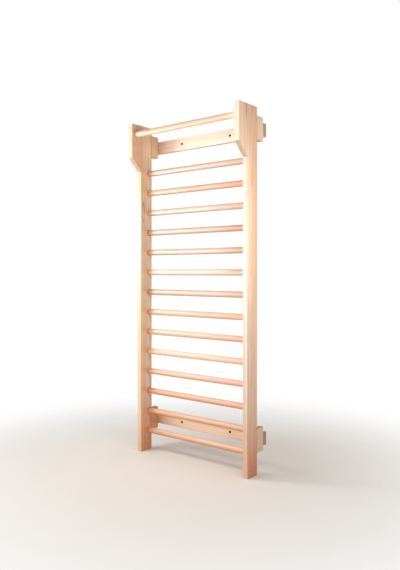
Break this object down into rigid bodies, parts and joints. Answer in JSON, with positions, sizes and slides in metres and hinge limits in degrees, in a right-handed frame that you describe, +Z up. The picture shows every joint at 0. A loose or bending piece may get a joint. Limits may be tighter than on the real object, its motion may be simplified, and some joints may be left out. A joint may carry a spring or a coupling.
{
  "type": "wall bars",
  "caption": "Wooden wall bars for climbing and stretching: plank uprights, round rungs, a pull-up bar set forward in angled head blocks, and wall rails on spacer blocks.",
  "frame": {"origin": "on the floor, in the middle of the overall width and of the overall depth", "axes": "+X along the rungs to the right of a user who faces the wall, +Y towards the wall, +Z up"},
  "size_m": [0.9, 0.289, 2.204],
  "materials": {
    "plank_wood": "satin",
    "head_wood": "satin",
    "rung_wood": "satin",
    "rail_wood": "satin",
    "block_wood": "satin",
    "dowel_wood": "matte",
    "screw_steel": "zinc plated"
  },
  "bodies": {
    "root": {"left_upright": "plank_wood", "left_head_block": "head_wood", "left_head_dowel_lower": "dowel_wood", "left_head_dowel_upper": "dowel_wood", "right_upright": "plank_wood", "right_head_block": "head_wood", "right_head_dowel_lower": "dowel_wood", "right_head_dowel_upper": "dowel_wood", "rung_01": "rung_wood", "rung_02": "rung_wood", "rung_03": "rung_wood", "rung_04": "rung_wood", "rung_05": "rung_wood", "rung_06": "rung_wood", "rung_07": "rung_wood", "rung_08": "rung_wood", "rung_09": "rung_wood", "rung_10": "rung_wood", "rung_11": "rung_wood", "rung_12": "rung_wood", "rung_13": "rung_wood", "rung_14": "rung_wood", "pull_up_bar": "rung_wood", "upper_wall_rail": "rail_wood", "upper_left_spacer_block": "block_wood", "upper_left_joining_screw_low": "screw_steel", "upper_left_joining_screw_high": "screw_steel", "upper_right_spacer_block": "block_wood", "upper_right_joining_screw_low": "screw_steel", "upper_right_joining_screw_high": "screw_steel", "lower_wall_rail": "rail_wood", "lower_left_spacer_block": "block_wood", "lower_left_joining_screw_low": "screw_steel", "lower_left_joining_screw_high": "screw_steel", "lower_right_spacer_block": "block_wood", "lower_right_joining_screw_low": "screw_steel", "lower_right_joining_screw_high": "screw_steel"}
  },
  "joints": []
}
